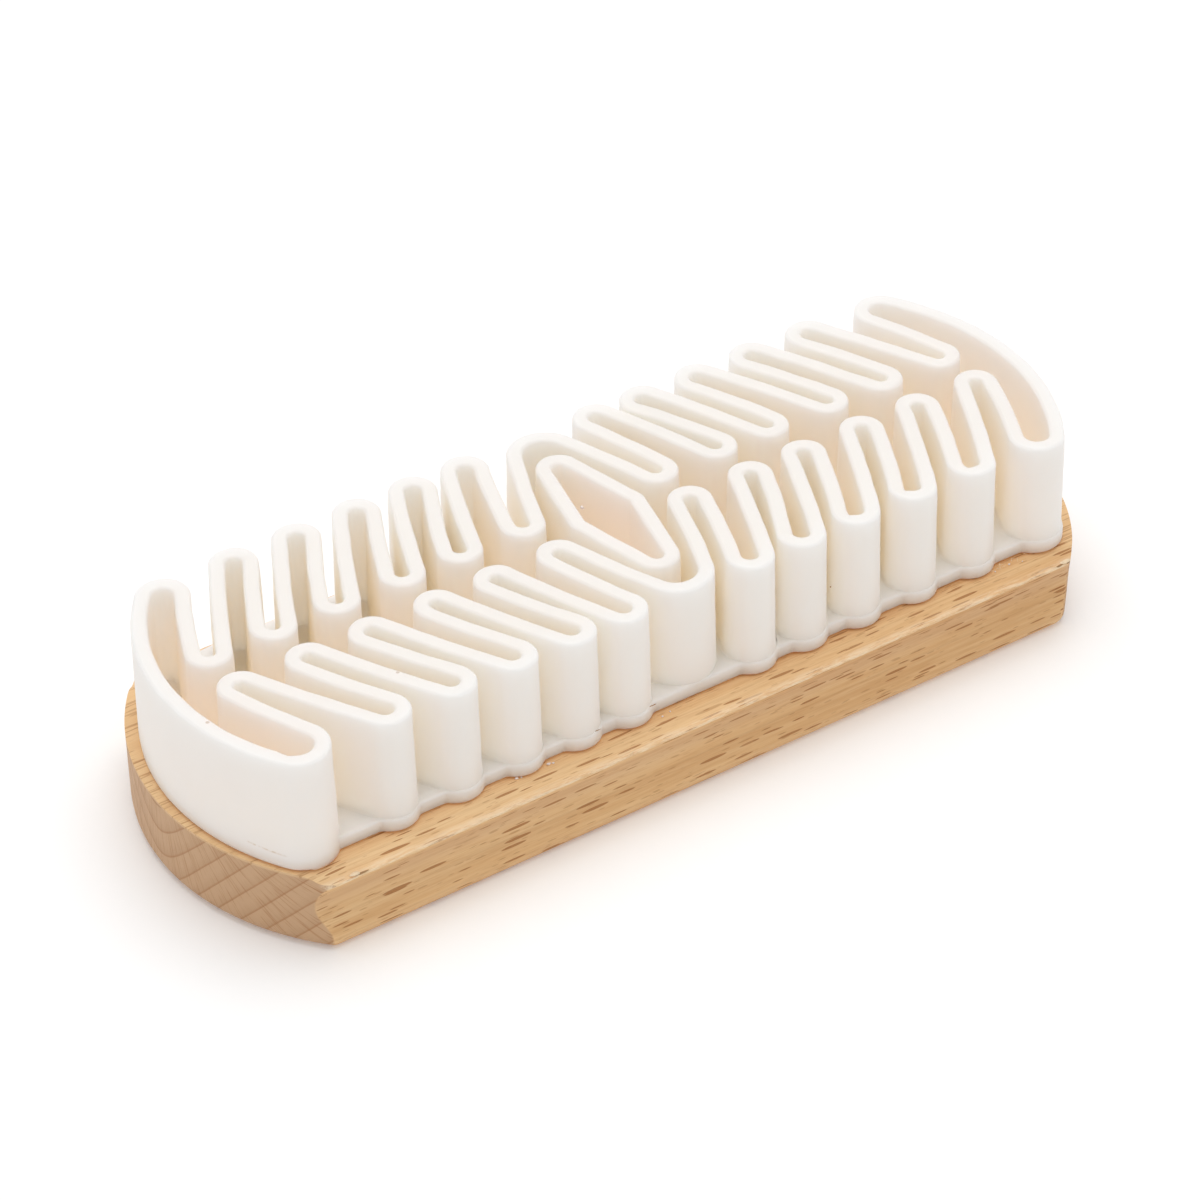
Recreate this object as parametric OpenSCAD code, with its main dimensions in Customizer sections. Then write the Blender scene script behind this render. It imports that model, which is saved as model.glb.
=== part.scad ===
/* [Wooden block] */
// Length of the block from end to end
block_length = 130; // [115:1:160]
// Width of the block across its two ridges
block_width = 48.2; // [44:0.2:56]
// Thickness of the block
block_thickness = 11; // [9.5:0.5:16]
// Radius of the bow at each end of the block
end_radius = 33.6; // [32:0.2:60]
// Rounding of the block's bottom edge
bottom_rounding = 1.2; // [0.4:0.1:2]
// Distance from each ridge in to the flat top
top_inset = 3.2; // [2:0.1:3.4]
// Distance from the flat top down to each ridge
ridge_drop = 0.6; // [0.3:0.1:1.2]
// Height of the blunt edge along each ridge
ridge_edge = 0.4; // [0.2:0.1:1]
// Depth of the finger groove under each ridge
groove_depth = 2.1; // [1:0.1:3]
// Radius of the finger groove
groove_radius = 5; // [4:0.1:6]
// Distance from each ridge in to the block's side below the groove
foot_inset = 0.6; // [0:0.1:1.5]

/* [Rubber sheet] */
// Thickness of the glue between the block and the rubber
glue_thickness = 0.2; // [0.1:0.05:0.5]
// Distance that the glue stays back from the sheet's edge
glue_inset = 0.4; // [0.1:0.1:1]
// Thickness of the sheet that the walls stand on
sheet_thickness = 1.9; // [1:0.1:4]
// Distance that the sheet runs on past the end wall
sheet_end_rim = 0.35; // [0.1:0.05:1.5]
// Distance that the sheet runs on past the foot of each fold
sheet_fold_rim = 0.1; // [0:0.05:0.5]
// Distance from the folds' outer face in to the sheet's straight edge
scallop_depth = 0.8; // [0.3:0.1:1.2]
// Radius of the hollows between the folds in the sheet's edge
scallop_radius = 1; // [0.5:0.1:1.5]

/* [Rubber walls] */
// Height of the walls above the sheet
wall_height = 14.4; // [8:0.2:20]
// Thickness of the walls
wall_thickness = 2.2; // [1.6:0.1:2.4]
// Distance from the block's end to the outer face of the end wall
end_wall_inset = 1.7; // [1.6:0.1:5]
// Radius of the end wall, at the middle of its thickness
end_wall_radius = 31.5; // [28:0.1:50]
// Distance from each ridge in to the outer face of the folds
fold_inset = 3.6; // [3.4:0.1:6]
// Distance from the sheet's straight edge in to the outer face of the two middle folds
middle_fold_margin = 0.3; // [0:0.1:2]
// Gap between facing bends across the middle of the pad
spine_gap = 1.8; // [1:0.1:5]
// Least spacing of the folds, which share the length evenly
fold_pitch = 8.6; // [8.6:0.1:12]
// Distance from the middle of the pad to the first bend
first_bend = 9.8; // [9:0.1:11]
// Distance from the end wall to the last bend
last_bend = 7.6; // [6:0.1:9]
// Lean of the folds towards the middle of the pad
fold_lean = 2.1; // [0:0.1:2.3]
// Lean of the folds beside the middle fold
first_fold_lean = 0.2; // [0:0.1:1]
// Radius of the folds, at the middle of the wall
fold_radius = 2.1; // [1.8:0.05:2.3]
// Radius of the bends between the folds, at the middle of the wall
bend_radius = 1.9; // [1.5:0.05:2.2]
// Radius of the middle folds, at the middle of the wall
middle_fold_radius = 3.8; // [3:0.1:4]
// Radius of the four corner folds, at the middle of the wall
corner_fold_radius = 2.7; // [2.2:0.1:3.5]

/* [Centre loop] */
// Distance from the loop's ends to the inner face of the middle folds
loop_end_gap = 3.3; // [2.5:0.1:6]
// Width of the loop over its outer faces
loop_width = 10.9; // [8.8:0.1:11.4]
// Radius of the loop's ends, at the middle of the wall
loop_end_radius = 1.95; // [1.5:0.05:2.1]
// Radius of the loop's side corners, at the middle of the wall
loop_side_radius = 1.3; // [1.3:0.05:2.5]

/* [Hidden] */
$fn = 72;
beech = [0.81, 0.62, 0.4];
glue = [0.72, 0.62, 0.45];
rubber = [0.95, 0.93, 0.9];
// How far a facet of a curved wall may lie inside the true curve
facet_depth = 0.03;

half_wall = wall_thickness / 2;
ridge_y = block_width / 2;

// Heights of the layers, from the underside of the block
sheet_z = block_thickness + glue_thickness;
wall_z = sheet_z + sheet_thickness;

// Section of the block
end_x = block_length / 2 - end_radius;
land_y = ridge_y - top_inset;
foot_y = ridge_y - foot_inset;
ridge_z = block_thickness - ridge_drop;
groove_reach = sqrt(groove_radius ^ 2 - (groove_radius - groove_depth) ^ 2);
groove_z = ridge_z - ridge_edge - groove_reach;

// Places of the folds and bends, as the centres of their turns
fold_y = ridge_y - fold_inset - half_wall - fold_radius;
corner_y = ridge_y - fold_inset - half_wall - corner_fold_radius;
edge_y = ridge_y - fold_inset - scallop_depth;
middle_fold_y = edge_y - middle_fold_margin - half_wall - middle_fold_radius;
bend_y = spine_gap / 2 + half_wall + bend_radius;
end_wall_x = block_length / 2 - end_wall_inset - half_wall;
arc_x = end_wall_x - end_wall_radius;
bend_span = end_wall_x - last_bend - first_bend;
bend_steps = max(1, floor(bend_span / fold_pitch));

function bend_x(i) = first_bend + i * bend_span / bend_steps;
function fold_x(i) = bend_x(i) - (i == 0 ? first_fold_lean : fold_lean);

// Place along the pad of a corner turn that runs smoothly into an end arc
function corner_x(arc_radius, turn_radius) =
  arc_x + sqrt((arc_radius - turn_radius) ^ 2 - corner_y ^ 2);

// A closed wall is a list of turns [x, y, radius], the radius negative where it turns right
function flip_x(turns) = [for (i = [len(turns) - 1:-1:0]) [-turns[i].x, turns[i].y, turns[i][2]]];
function turn_over(turns) = [for (t = turns) [-t.x, -t.y, t[2]]];
function whole_round(far_side, arc_radius) =
  let (half = concat(far_side, [[-arc_x, 0, arc_radius]]))
  concat(half, turn_over(half));

// Direction of the straight stretch that leads from one turn to the next
function heading(a, b) =
  let (slip = (b[2] - a[2]) / norm([b.x - a.x, b.y - a.y]))
  atan2(b.y - a.y, b.x - a.x) - asin(min(1, max(-1, slip)));

function turn_angle(from, to, radius) =
  radius > 0 ? (to - from + 720) % 360 : -((from - to + 720) % 360);

// Points of one face round a turn, the face set in by inset from the turn's own line
function turn_points(t, from, to, inset) =
  let (
    sweep = turn_angle(from, to, t[2]),
    facet_angle = 2 * acos(1 - facet_depth / abs(t[2])),
    steps = max(1, ceil(abs(sweep) / facet_angle))
  )
  [for (i = [0:steps])
    let (angle = from + sweep * i / steps)
    [t.x + (t[2] - inset) * sin(angle), t.y - (t[2] - inset) * cos(angle)]];

function face_points(turns, inset) =
  let (
    count = len(turns),
    headings = [for (i = [0:count - 1]) heading(turns[i], turns[(i + 1) % count])]
  )
  [for (i = [0:count - 1])
    each turn_points(turns[i], headings[(i + count - 1) % count], headings[i], inset)];

// The folded wall, from a corner fold past bends and folds to the one beyond the middle
wall_quarter = concat(
  [[corner_x(end_wall_radius, corner_fold_radius), corner_y, corner_fold_radius]],
  [for (i = [bend_steps - 1:-1:0])
    each [[bend_x(i + 1), bend_y, -bend_radius], [fold_x(i), fold_y, fold_radius]]],
  [[bend_x(0), bend_y, -bend_radius]]
);
middle_fold = [0, middle_fold_y, middle_fold_radius];
wall_turns = whole_round(concat(wall_quarter, [middle_fold], flip_x(wall_quarter)), end_wall_radius);

// The sheet's edge, scalloped round the foot of each fold
sheet_fold_radius = fold_radius + half_wall + sheet_fold_rim;
sheet_corner_radius = corner_fold_radius + half_wall + sheet_fold_rim;
sheet_arc_radius = end_wall_radius + half_wall + sheet_end_rim;
sheet_corner_x = corner_x(sheet_arc_radius, sheet_corner_radius);
hollow_y = edge_y + scallop_radius;

// Distance along the edge between a turn and the hollow that meets it
function hollow_offset(y, radius) = sqrt((radius + scallop_radius) ^ 2 - (hollow_y - y) ^ 2);
function hollow(x) = [x, hollow_y, -scallop_radius];

fold_hollow = hollow_offset(fold_y, sheet_fold_radius);
corner_hollow = hollow_offset(corner_y, sheet_corner_radius);
sheet_quarter = concat(
  [[sheet_corner_x, corner_y, sheet_corner_radius], hollow(sheet_corner_x - corner_hollow)],
  [for (i = [bend_steps - 1:-1:0])
    each [
      hollow(fold_x(i) + fold_hollow),
      [fold_x(i), fold_y, sheet_fold_radius],
      hollow(fold_x(i) - fold_hollow)
    ]]
);
sheet_turns = whole_round(concat(sheet_quarter, flip_x(sheet_quarter)), sheet_arc_radius);

// The closed loop in the middle
loop_end_y = middle_fold_y + middle_fold_radius - wall_thickness - loop_end_gap - loop_end_radius;
loop_side_x = loop_width / 2 - half_wall - loop_side_radius;
loop_half = [[loop_side_x, 0, loop_side_radius], [0, loop_end_y, loop_end_radius]];
loop_turns = concat(loop_half, turn_over(loop_half));

module both_sides() {
  children();
  mirror([1, 0])
    children();
}

module slab(half_width, bottom, top) {
  translate([-half_width, bottom])
    square([2 * half_width, top - bottom]);
}

// Section of the block across its length
module block_section() {
  difference() {
    union() {
      slab(land_y, 0, block_thickness);
      slab(ridge_y, groove_z, ridge_z);
      slab(foot_y, bottom_rounding, groove_z);
      slab(foot_y - bottom_rounding, 0, groove_z);
      both_sides() {
        translate([land_y, ridge_z])
          circle(r = ridge_drop);
        translate([foot_y - bottom_rounding, bottom_rounding])
          circle(r = bottom_rounding);
      }
    }
    both_sides()
      translate([ridge_y - groove_depth + groove_radius, groove_z])
        circle(r = groove_radius);
  }
}

// Round plan of one end of the block, its bottom edge rounded
module end_disc() {
  translate([end_x, 0, 0])
    rotate_extrude($fn = 180) {
      translate([0, bottom_rounding])
        square([end_radius, block_thickness - bottom_rounding]);
      square([end_radius - bottom_rounding, block_thickness]);
      translate([end_radius - bottom_rounding, bottom_rounding])
        circle(r = bottom_rounding);
    }
}

module beech_block() {
  color(beech)
    intersection() {
      rotate([90, 0, 90])
        linear_extrude(height = block_length, center = true)
          block_section();
      union() {
        end_disc();
        mirror([1, 0, 0])
          end_disc();
        translate([-end_x, -end_radius, 0])
          cube([2 * end_x, 2 * end_radius, block_thickness]);
      }
    }
}

module glue_film() {
  color(glue)
    translate([0, 0, block_thickness])
      linear_extrude(height = glue_thickness)
        polygon(face_points(sheet_turns, glue_inset));
}

module base_sheet() {
  color(rubber)
    translate([0, 0, sheet_z])
      linear_extrude(height = sheet_thickness)
        polygon(face_points(sheet_turns, 0));
}

// Upright wall that follows a closed list of turns
module closed_wall(turns) {
  translate([0, 0, wall_z])
    linear_extrude(height = wall_height)
      difference() {
        polygon(face_points(turns, -half_wall));
        polygon(face_points(turns, half_wall));
      }
}

module wave_band() {
  color(rubber)
    closed_wall(wall_turns);
}

module centre_loop() {
  color(rubber)
    closed_wall(loop_turns);
}

beech_block();
glue_film();
base_sheet();
wave_band();
centre_loop();
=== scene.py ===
import math

import bpy
import numpy as np
from bpy.props import FloatProperty, FloatVectorProperty, PointerProperty
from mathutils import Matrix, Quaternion, Vector, kdtree, noise
from mathutils.bvhtree import BVHTree


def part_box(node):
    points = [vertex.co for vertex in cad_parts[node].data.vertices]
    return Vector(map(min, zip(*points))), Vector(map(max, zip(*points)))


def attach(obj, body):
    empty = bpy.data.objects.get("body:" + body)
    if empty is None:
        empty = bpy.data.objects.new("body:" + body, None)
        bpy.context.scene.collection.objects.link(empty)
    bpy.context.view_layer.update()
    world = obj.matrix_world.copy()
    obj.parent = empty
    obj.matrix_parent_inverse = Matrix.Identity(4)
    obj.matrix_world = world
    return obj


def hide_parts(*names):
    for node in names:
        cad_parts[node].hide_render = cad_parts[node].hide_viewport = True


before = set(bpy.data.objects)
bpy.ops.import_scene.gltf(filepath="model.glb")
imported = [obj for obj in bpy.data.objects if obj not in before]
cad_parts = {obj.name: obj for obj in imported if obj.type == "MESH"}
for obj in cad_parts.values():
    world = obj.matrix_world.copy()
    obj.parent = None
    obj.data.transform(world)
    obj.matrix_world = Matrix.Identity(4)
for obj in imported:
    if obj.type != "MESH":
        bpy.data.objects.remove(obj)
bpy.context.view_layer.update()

bl_info = {
    "name": "Suede brush",
    "version": (1, 0, 0),
    "blender": (4, 5, 0),
    "location": "3D View > Sidebar > Suede brush",
    "description": "Beech block with a folded crepe rubber pad, and the studio that it lies in",
    "category": "Object",
}

MM = 0.001
BODY = "root"

BLOCK_LOW, BLOCK_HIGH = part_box("beech_block")
SHEET_LOW, SHEET_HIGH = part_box("base_sheet")
WALL_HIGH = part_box("wave_band")[1]
LOOP_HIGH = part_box("centre_loop")[1]

# Section of the block, as pairs of distance from the middle and height in mm, up one side
BLOCK_SIDE = (
    (22.3, 0.0), (22.75, 0.13), (23.1, 0.38), (23.35, 0.75), (23.48, 1.2), (23.5, 1.7),
    (23.42, 2.3), (23.2, 2.95), (22.9, 3.6), (22.55, 4.2), (22.25, 4.8), (22.05, 5.45),
    (21.98, 6.1), (22.0, 6.8), (22.15, 7.5), (22.4, 8.15), (22.7, 8.7), (23.05, 9.2), (23.4, 9.6),
    (23.75, 9.9), (24.0, 10.08), (24.1, 10.25), (24.02, 10.42), (23.8, 10.42), (23.5, 10.28),
    (23.1, 10.2), (22.7, 10.22), (22.3, 10.38), (21.95, 10.62), (21.55, 10.82), (21.1, 10.95),
    (20.5, 11.0),
)

# Even layout of the folded wall in mm, as the centres and radii of its turns: folds at the sides of
# the pad, bends between them near its middle line, and one wide fold at the middle of each side
FOLD_PLACES = (9.6, 16.7, 25.6, 34.6, 43.5)
BEND_PLACES = (9.8, 18.8, 27.7, 36.7, 45.6, 54.6)
FOLD_Y = 17.3
BEND_Y = 3.9
MIDDLE_FOLD_Y = 14.5
FOLD_RADIUS = 2.1
BEND_RADIUS = 1.9
MIDDLE_FOLD_RADIUS = 3.8

# The two end walls as centre and radius, and the four corner folds as distance from the middle
# line and radius
LEFT_END = (-31.4, -1.4, 31.3)
RIGHT_END = (30.1, 0.0, 31.8)
FAR_RIGHT_CORNER = (16.5, 2.5)
FAR_LEFT_CORNER = (16.7, 2.4)
NEAR_LEFT_CORNER = (-16.8, 3.1)
NEAR_RIGHT_CORNER = (-17.3, 2.6)

# How far in mm each turn stands off that layout along the pad, from the middle outwards
FAR_RIGHT_FOLDS = (0.2, 0.3, 0.0, -0.4, -0.3)
FAR_RIGHT_BENDS = (-0.1, 0.0, -0.9, -0.5, -0.7, -0.4)
FAR_LEFT_FOLDS = (0.5, 1.1, 0.4, 0.1, 0.1)
FAR_LEFT_BENDS = (0.4, 0.6, 0.0, 0.3, 0.3, 0.2)
NEAR_LEFT_FOLDS = (0.0, 0.4, -0.1, -0.5, -0.3)
NEAR_LEFT_BENDS = (0.1, 0.2, -0.1, 0.1, 0.0, 0.3)
NEAR_RIGHT_FOLDS = (-0.5, 0.2, -0.4, -0.6, -0.3)
NEAR_RIGHT_BENDS = (-0.2, 0.0, -0.7, -0.6, -0.6, -0.2)

# The four turns of the lozenge loop in mm, as centre and radius
LOOP_TURNS = ((3.0, 0.2, 1.3), (-0.2, 10.9, 1.95), (-3.3, -0.2, 1.3), (-0.2, -10.7, 1.95))

# The sheet's edge in mm: its places between the scallops, how far it stands out from the wall's own
# line at the corners and ends, and the radii of the scallops and of the hollows between them
NEAR_EDGE = 19.7
FAR_EDGE = 21.0
LEFT_RIM = 1.15
RIGHT_CORNER_RIM = 1.5
RIGHT_END_RIM = 1.3
NEAR_SCALLOP = 3.6
FAR_SCALLOP = 4.1
HOLLOW = 1.0


def ready():
    """Object mode with nothing selected."""
    if bpy.context.object and bpy.context.object.mode != "OBJECT":
        bpy.ops.object.mode_set(mode="OBJECT")
    bpy.ops.object.select_all(action="DESELECT")


def choose(piece):
    """Object mode with this piece alone selected, and active."""
    ready()
    piece.select_set(True)
    bpy.context.view_layer.objects.active = piece


def sculpt(piece, points):
    """Moves the vertices of a piece to points in metres."""
    piece.data.vertices.foreach_set("co", np.asarray(points, float).ravel())
    piece.data.update()


def points_of(piece):
    """The places of a piece's vertices in metres, one row each."""
    places = np.empty(len(piece.data.vertices) * 3)
    piece.data.vertices.foreach_get("co", places)
    return places.reshape(-1, 3)


def ring(name, line, height):
    """A closed loop of edges through plan points, at one height."""
    ready()
    bpy.ops.mesh.primitive_circle_add(vertices=len(line), radius=0.01)
    piece = bpy.context.object
    piece.name = name
    piece.data.name = name
    sculpt(piece, [(x, y, height) for x, y in line])
    return piece


def fill(piece):
    """Closes a loop of edges with one face."""
    bpy.context.view_layer.objects.active = piece
    bpy.ops.object.mode_set(mode="EDIT")
    bpy.ops.mesh.select_all(action="SELECT")
    bpy.ops.mesh.edge_face_add()
    bpy.ops.object.mode_set(mode="OBJECT")


def extrude(piece, moves):
    """Extrudes a loop or a face, one move after the other."""
    bpy.context.view_layer.objects.active = piece
    bpy.ops.object.mode_set(mode="EDIT")
    bpy.ops.mesh.select_all(action="SELECT")
    for move in moves:
        bpy.ops.mesh.extrude_region_move(TRANSFORM_OT_translate={"value": move})
    bpy.ops.object.mode_set(mode="OBJECT")


def upwards(steps):
    """Moves straight up, for extrude."""
    return [(0, 0, step) for step in steps]


def apply(piece, kind, **settings):
    """Adds a modifier with its settings and applies it."""
    bpy.context.view_layer.objects.active = piece
    modifier = piece.modifiers.new(kind.title(), kind)
    for key, value in settings.items():
        setattr(modifier, key, value)
    bpy.ops.object.modifier_apply(modifier=modifier.name)


def pick_edges(piece, wanted):
    """Selects the edges of these numbers, and leaves edit mode on."""
    bpy.ops.object.mode_set(mode="EDIT")
    bpy.ops.mesh.select_mode(type="EDGE")
    bpy.ops.mesh.select_all(action="DESELECT")
    bpy.ops.object.mode_set(mode="OBJECT")
    for edge in piece.data.edges:
        edge.select = edge.index in wanted
    bpy.ops.object.mode_set(mode="EDIT")


def recalculate(piece):
    """Points every face outwards."""
    bpy.context.view_layer.objects.active = piece
    bpy.ops.object.mode_set(mode="EDIT")
    bpy.ops.mesh.select_all(action="SELECT")
    bpy.ops.mesh.normals_make_consistent(inside=False)
    bpy.ops.object.mode_set(mode="OBJECT")


def finish_piece(piece, material, slot, *nodes):
    """Gives a piece its finish, the CAD nodes that it stands for and the body that it rides on."""
    piece.data.materials.clear()
    piece.data.materials.append(material)
    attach(piece, BODY)
    if nodes:
        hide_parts(*nodes)


def smooth(piece, angle):
    """Smooth shading, apart from edges sharper than an angle in degrees."""
    choose(piece)
    bpy.ops.object.shade_smooth_by_angle(angle=math.radians(angle))


def heading(start, end):
    """Direction of the straight stretch that leaves one turn and touches the next."""
    x, y, radius = start
    x2, y2, radius2 = end
    slip = (radius2 - radius) / math.hypot(x2 - x, y2 - y)
    return math.atan2(y2 - y, x2 - x) - math.asin(max(-1, min(1, slip)))


def wall_line(turns, step, bow):
    """Plan points along a closed list of turns, the straight stretches bowed towards the ends.

    A turn is a centre and a radius, above 0 where the line turns left. Points stand a step apart
    on small turns, and two steps apart elsewhere.
    """
    small = 10
    count = len(turns)
    headings = [heading(turns[i], turns[(i + 1) % count]) for i in range(count)]
    line = []
    for i, (x, y, radius) in enumerate(turns):
        start = headings[i - 1]
        if radius > 0:
            sweep = (headings[i] - start) % math.tau
        else:
            sweep = -((start - headings[i]) % math.tau)
        spacing = step if abs(radius) < small else 2 * step
        pieces = max(2, math.ceil(abs(sweep * radius) / spacing))
        for k in range(pieces + 1):
            angle = start + sweep * k / pieces
            line.append((x + radius * math.sin(angle), y - radius * math.cos(angle)))
        x2, y2, radius2 = turns[(i + 1) % count]
        ahead = headings[i]
        begin = np.array(line[-1])
        end = np.array((x2 + radius2 * math.sin(ahead), y2 - radius2 * math.cos(ahead)))
        length = np.linalg.norm(end - begin)
        parts = math.ceil(length / (2 * step))
        if length > 3 * step:
            along = (end - begin) / length
            across = np.array((-along[1], along[0]))
            side = math.copysign(1, across[0] * (begin[0] + end[0]))
            for k in range(1, parts):
                share = k / parts
                aside = bow * 4 * share * (1 - share)
                line.append(tuple(begin + along * length * share + across * side * aside))
    return [point for i, point in enumerate(line) if math.dist(point, line[i - 1]) > step / 4]


def corner_turn(end, corner, wider=0.0):
    """The turn at a corner, placed so that it runs smoothly into its end wall."""
    x, y, reach = end
    corner_y, radius = corner
    run = math.sqrt((reach - radius) ** 2 - (corner_y - y) ** 2)
    return (x + math.copysign(run, x), corner_y, radius + wider)


def quarter_turns(end, corner, fold_shifts, bend_shifts):
    """Turns of a quarter of the folded wall, from the corner to the bend beside the middle fold."""
    turns = [corner_turn(end, corner)]
    side_x = math.copysign(1, turns[0][0])
    side_y = math.copysign(1, turns[0][1])
    for i in range(len(FOLD_PLACES), 0, -1):
        bend = BEND_PLACES[i] + bend_shifts[i]
        fold = FOLD_PLACES[i - 1] + fold_shifts[i - 1]
        turns.append((side_x * bend, side_y * BEND_Y, -BEND_RADIUS))
        turns.append((side_x * fold, side_y * FOLD_Y, FOLD_RADIUS))
    turns.append((side_x * (BEND_PLACES[0] + bend_shifts[0]), side_y * BEND_Y, -BEND_RADIUS))
    return turns


def pad_turns():
    """All turns of the folded wall, round the pad against the clock."""
    far = quarter_turns(RIGHT_END, FAR_RIGHT_CORNER, FAR_RIGHT_FOLDS, FAR_RIGHT_BENDS)
    far += [(0, MIDDLE_FOLD_Y, MIDDLE_FOLD_RADIUS)]
    far += quarter_turns(LEFT_END, FAR_LEFT_CORNER, FAR_LEFT_FOLDS, FAR_LEFT_BENDS)[::-1]
    near = quarter_turns(LEFT_END, NEAR_LEFT_CORNER, NEAR_LEFT_FOLDS, NEAR_LEFT_BENDS)
    near += [(0, -MIDDLE_FOLD_Y, MIDDLE_FOLD_RADIUS)]
    near += quarter_turns(RIGHT_END, NEAR_RIGHT_CORNER, NEAR_RIGHT_FOLDS, NEAR_RIGHT_BENDS)[::-1]
    return far + [LEFT_END] + near + [RIGHT_END]


class Term:
    """An output socket of a material, with the arithmetic of Math nodes."""

    def __init__(self, tree, socket):
        self.tree = tree
        self.socket = socket

    def node(self, kind, settings=None, inputs=None, output=0):
        """Adds any node: its settings first, then the values or links of its inputs."""
        node = self.tree.nodes.new(kind)
        for key, value in (settings or {}).items():
            setattr(node, key, value)
        for key, value in (inputs or {}).items():
            if isinstance(value, Term):
                self.tree.links.new(value.socket, node.inputs[key])
            else:
                node.inputs[key].default_value = value
        return Term(self.tree, node.outputs[output])

    def maths(self, operation, a, b=0.0):
        """A Math node on two values, the second left out where the operation takes one."""
        return self.node("ShaderNodeMath", {"operation": operation}, {0: a, 1: b})

    def __add__(self, other):
        return self.maths("ADD", self, other)

    def __radd__(self, other):
        return self.maths("ADD", other, self)

    def __sub__(self, other):
        return self.maths("SUBTRACT", self, other)

    def __rsub__(self, other):
        return self.maths("SUBTRACT", other, self)

    def __mul__(self, other):
        return self.maths("MULTIPLY", self, other)

    def __rmul__(self, other):
        return self.maths("MULTIPLY", other, self)

    def __truediv__(self, other):
        return self.maths("DIVIDE", self, other)

    def __pow__(self, other):
        return self.maths("POWER", self, other)

    def __abs__(self):
        return self.maths("ABSOLUTE", self)

    def between(self, low, high):
        """0 below low, 1 above high and smooth between, or the other way round."""
        return self.node(
            "ShaderNodeMapRange", {"interpolation_type": "SMOOTHSTEP", "clamp": True},
            {"Value": self, "From Min": low, "From Max": high, "To Min": 0.0, "To Max": 1.0})

    def noise(self, scale, detail, rough=0.5):
        """Soft noise at this place, about 0 to 1 and mostly near 0.5."""
        return self.node(
            "ShaderNodeTexNoise", {"noise_dimensions": "3D"},
            {"Vector": self, "Scale": scale, "Detail": detail, "Roughness": rough})

    def cells(self, scale, output="Distance"):
        """Scattered cells at this place: the distance to the nearest centre, or its own colour."""
        return self.node("ShaderNodeTexVoronoi", {"voronoi_dimensions": "3D"},
                         {"Vector": self, "Scale": scale}, output)

    def mix(self, first, second):
        """Colour from first to second as this value goes from 0 to 1."""
        ends = [end if isinstance(end, Term) else (*end, 1) for end in (first, second)]
        return self.node("ShaderNodeMix", {"data_type": "RGBA", "blend_type": "MIX"},
                         {0: self, 6: ends[0], 7: ends[1]}, 2)

    def parts(self):
        """The three numbers of a place, a direction or a colour."""
        node = self.tree.nodes.new("ShaderNodeSeparateXYZ")
        self.tree.links.new(self.socket, node.inputs[0])
        return [Term(self.tree, output) for output in node.outputs]

    def joined(self, x, y, z):
        """A place made of three numbers."""
        return self.node("ShaderNodeCombineXYZ", None, {0: x, 1: y, 2: z})


def new_finish(name):
    """A material, its surface shader, and the place and the direction of a face in the object."""
    material = bpy.data.materials.new(name)
    material.use_nodes = True
    tree = material.node_tree
    surface = tree.nodes["Principled BSDF"]
    source = tree.nodes.new("ShaderNodeTexCoord")
    place = Term(tree, source.outputs["Object"])
    facing = Term(tree, source.outputs["Normal"])
    return material, surface, place, facing


def plug(surface, **values):
    """Sets or links sockets of the surface shader, named with underscores for spaces."""
    for key, value in values.items():
        socket = surface.inputs[key.replace("_", " ")]
        if isinstance(value, Term):
            value.tree.links.new(value.socket, socket)
        else:
            socket.default_value = value


def bumped(height, strength, distance):
    """A relief, for the Normal of a surface."""
    return height.node(
        "ShaderNodeBump", None, {"Height": height, "Strength": strength, "Distance": distance},
        "Normal")


def rubber_finish(colours):
    """Milky crepe rubber: satin, light passes into it, with specks, faint tan scuffs and painted
    light in its hollows.
    """
    material, surface, place, _ = new_finish("milky_crepe")
    shelter = place.node("ShaderNodeAttribute", {"attribute_name": "shelter"}, None, "Fac")
    cloud = place.noise(90, 3)
    milk = cloud.between(0.35, 0.65).mix(colours.rubber, colours.rubber_shade)
    # Painted light: the more enclosed a place, the brighter and creamier it is painted, for light
    # that crosses the thin walls and bounces between them
    milk = shelter.between(0.1, 0.8).mix(milk, colours.rubber_hollow_painted_light)
    # The sheet takes on some of the glue's colour towards its underside
    x, y, z = place.parts()
    milk = ((1 - z.between(0.0120, 0.0132)) * 0.5).mix(milk, colours.rubber_edge)
    # A few brown specks
    grit = place.cells(260)
    chance = place.cells(260, "Color").parts()[0]
    speck = (1 - grit.between(0.04, 0.09)) * chance.between(0.975, 0.98)
    stained = (speck * 0.55).mix(milk, (0.42, 0.27, 0.16))
    # Faint tan scuffs along the foot of the left end wall
    level = z - 0.0135 - (y + 0.0165) * 0.05
    scuffed = (1 - abs(level).between(0.0, 0.00022)) * place.noise(700, 2).between(0.45, 0.6)
    scuffed = scuffed * y.between(-0.0195, -0.0185) * (1 - y.between(-0.015, -0.0135))
    scuffed = scuffed * (1 - x.between(-0.056, -0.055))
    stained = (scuffed * 0.6).mix(stained, (0.62, 0.45, 0.28))
    orange_peel = place.noise(900, 2)
    hammered = place.noise(220, 2)
    relief = bumped(orange_peel * 0.35 + hammered, 0.12, 0.0003)
    plug(surface, Base_Color=stained, Roughness=0.36 + cloud * 0.14, Normal=relief,
         Subsurface_Weight=1.0, Subsurface_Radius=(1.0, 1.0, 1.0), Subsurface_Scale=0.004,
         Specular_IOR_Level=0.4)
    return material


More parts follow.
